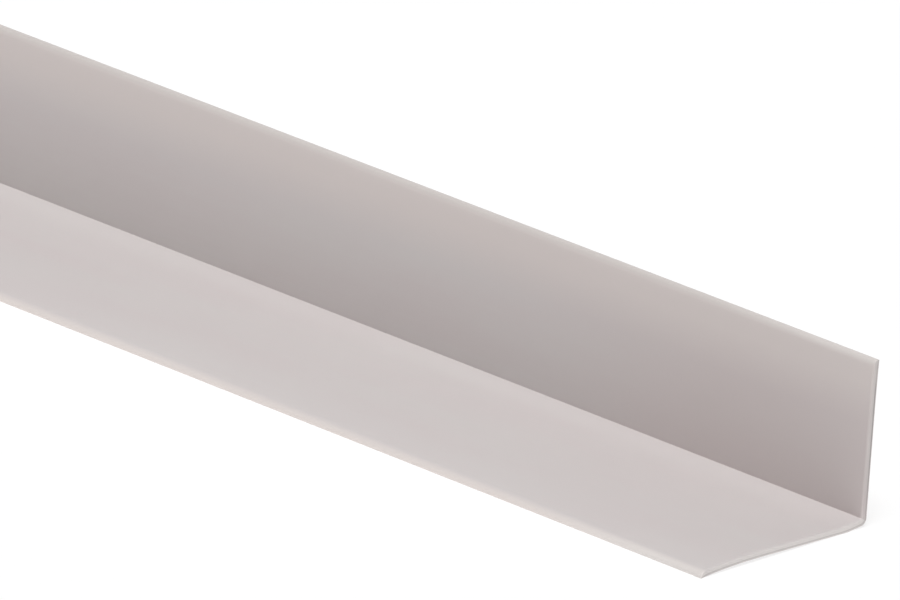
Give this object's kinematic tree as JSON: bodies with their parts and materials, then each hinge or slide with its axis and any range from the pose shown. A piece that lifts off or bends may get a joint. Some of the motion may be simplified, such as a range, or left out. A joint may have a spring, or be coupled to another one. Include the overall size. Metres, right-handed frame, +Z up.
{
  "type": "flexible skirting board",
  "caption": "Straight L-shaped strip of soft PVC with a sharp inner crease, an eased heel and curved lips, fitted along a room's edge to cover the joint between wall and floor.",
  "frame": {"origin": "on the floor, at the middle of the strip's length and depth", "axes": "+X along the strip, towards the cut end that the picture shows; +Y from the room towards the wall; +Z up, with the heel and the front lip on the floor"},
  "size_m": [1, 0.0326, 0.0239],
  "materials": {
    "soft_pvc": "satin"
  },
  "bodies": {
    "root": {"skirting_strip": "soft_pvc"}
  },
  "joints": []
}
